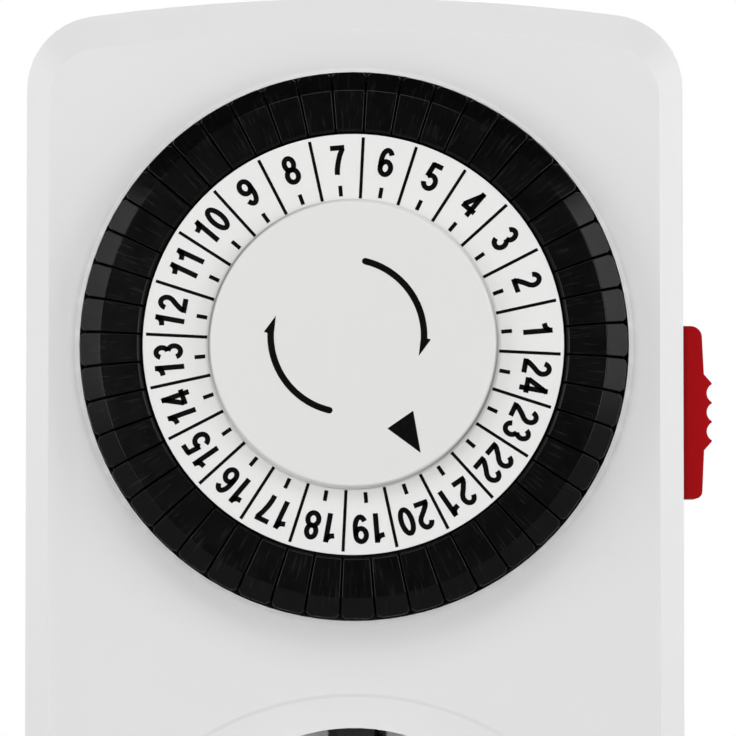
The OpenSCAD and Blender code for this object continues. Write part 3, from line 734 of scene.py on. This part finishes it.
def turning_arrow():
    """A clockwise arc round the origin with a round tail, ending in the half of an arrow head."""
    start, end = math.radians(ARROW_START), math.radians(ARROW_END)
    half = ARROW_W / 2
    outline = []
    for i in range(TAIL_STEPS + 1):
        # the tail's half circle runs from the inner edge to the outer one
        out = math.pi * i / TAIL_STEPS
        x, z = clock(ARROW_R - half * math.cos(out), start)
        back = half * math.sin(out)
        outline.append((x - back * math.cos(start), z + back * math.sin(start)))
    turns = [start + (end - start) * i / ARROW_STEPS for i in range(1, ARROW_STEPS + 1)]
    outline += [clock(ARROW_R + half, turn) for turn in turns]
    outline += ARROW_HEAD
    outline += [clock(ARROW_R - half, turn) for turn in reversed(turns)]
    return outline


def cap_print():
    """Two arrows that show the way the dial turns, and the pointer for the hour."""
    centre_x, centre_z = ARROW_CENTRE
    arrow = turning_arrow()
    arrows = [[(centre_x + side * x, centre_z + side * z) for x, z in arrow] for side in (1, -1)]
    shape = bmesh.new()
    for outline in (*arrows, POINTER):
        places = [(DIAL_X + x * MM, CAP_FACE_Y, DIAL_Z + z * MM) for x, z in outline]
        raise_ink(shape, [shape.faces.new([shape.verts.new(place) for place in places])])
    ink_piece("cap_print", shape, "housing")


# ---------------------------------------------------------------- light and camera


def camera():
    """A long lens in front of the dial, a little below it and to its right."""
    data = bpy.data.cameras.new("camera")
    data.sensor_width = SENSOR
    data.lens = SENSOR * CAMERA_DISTANCE / FRAME_W
    data.clip_start = CAMERA_NEAR
    tilt, yaw = math.radians(CAMERA_TILT), math.radians(CAMERA_YAW)
    level = math.cos(tilt)
    ahead = Vector((-math.sin(yaw) * level, math.cos(yaw) * level, math.sin(tilt)))
    eye = link("camera", data)
    eye.location = AIM - CAMERA_DISTANCE * ahead
    eye.rotation_euler = (math.pi / 2 + tilt, 0, yaw)
    bpy.context.scene.camera = eye


def softbox(name, place, size, power):
    """A soft box at a place from the middle of the dial's face, aimed at that middle."""
    data = bpy.data.lights.new(name, "AREA")
    data.shape = "RECTANGLE"
    data.size, data.size_y = size
    data.energy = power
    middle = Vector((0, FACE_Y, DIAL_Z))
    box = link(name, data)
    box.location = middle + Vector(place)
    box.rotation_euler = (-Vector(place)).to_track_quat("-Z", "Y").to_euler()


def lights():
    """Soft boxes in front, on both sides, above and behind."""
    for side, sign in (("left", -1), ("right", 1)):
        for name, ((x, y, z), size, powers) in SIDE_LIGHTS.items():
            softbox(f"{side}_{name}", (sign * x, y, z), size, powers[side])
    for name, (place, size, power) in MIDDLE_LIGHTS.items():
        softbox(name, place, size, power)


def floor():
    """A pale floor just under the body."""
    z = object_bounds()[0][2] - FLOOR_GAP
    corners = [(x * FLOOR_HALF, y * FLOOR_HALF, z) for x, y in ((-1, -1), (1, -1), (1, 1), (-1, 1))]
    mesh = bpy.data.meshes.new("floor")
    mesh.from_pydata(corners, [], [(0, 1, 2, 3)])
    mesh.materials.append(floor_paint())
    link("floor", mesh)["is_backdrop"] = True


def surround():
    """A world that looks white, and gives only a little light of its own."""
    world = bpy.data.worlds.new("surround")
    world.use_nodes = True
    tree = world.node_tree
    tree.nodes.clear()
    path = tree.nodes.new("ShaderNodeLightPath")
    seen = tree.nodes.new("ShaderNodeMath")
    seen.operation = "MAXIMUM"
    mix = tree.nodes.new("ShaderNodeMixShader")
    out = tree.nodes.new("ShaderNodeOutputWorld")
    tree.links.new(path.outputs["Is Camera Ray"], seen.inputs[0])
    tree.links.new(path.outputs["Is Transmission Ray"], seen.inputs[1])
    tree.links.new(seen.outputs[0], mix.inputs[0])
    for socket, strength in ((mix.inputs[1], SURROUND_LIGHT), (mix.inputs[2], 1.0)):
        sky = tree.nodes.new("ShaderNodeBackground")
        sky.inputs["Color"].default_value = (*grey(1), 1)
        sky.inputs["Strength"].default_value = strength
        tree.links.new(sky.outputs[0], socket)
    tree.links.new(mix.outputs[0], out.inputs[0])
    bpy.context.scene.world = world


# ---------------------------------------------------------------- assembly

camera()
lights()
floor()
surround()
bpy.context.scene.view_settings.view_transform = "Standard"

paint_nodes()
for node_name, radius in EDGE_R.items():
    dress(node_name, radius)
dress("front_cover", COVER_EDGE_R, COVER_SHARP_ANGLE, soften_relief)
for hour_number in range(1, HOURS + 1):
    dress(f"hour_{hour_number:02d}_tappets", TAPPET_EDGE_R)
domed_contact()

marks = mark_tree()
half_phase = DIAL_PHASE + 180 / HOURS
ring_of_marks("hour_lines", marks, HOUR_LINE_IN, HOUR_LINE_OUT, HOUR_LINE_W, DIAL_PHASE)
ring_of_marks("half_hour_lines", marks, HALF_LINE_IN, HALF_LINE_OUT, HALF_LINE_W, half_phase)
dial_numbers()
cap_print()
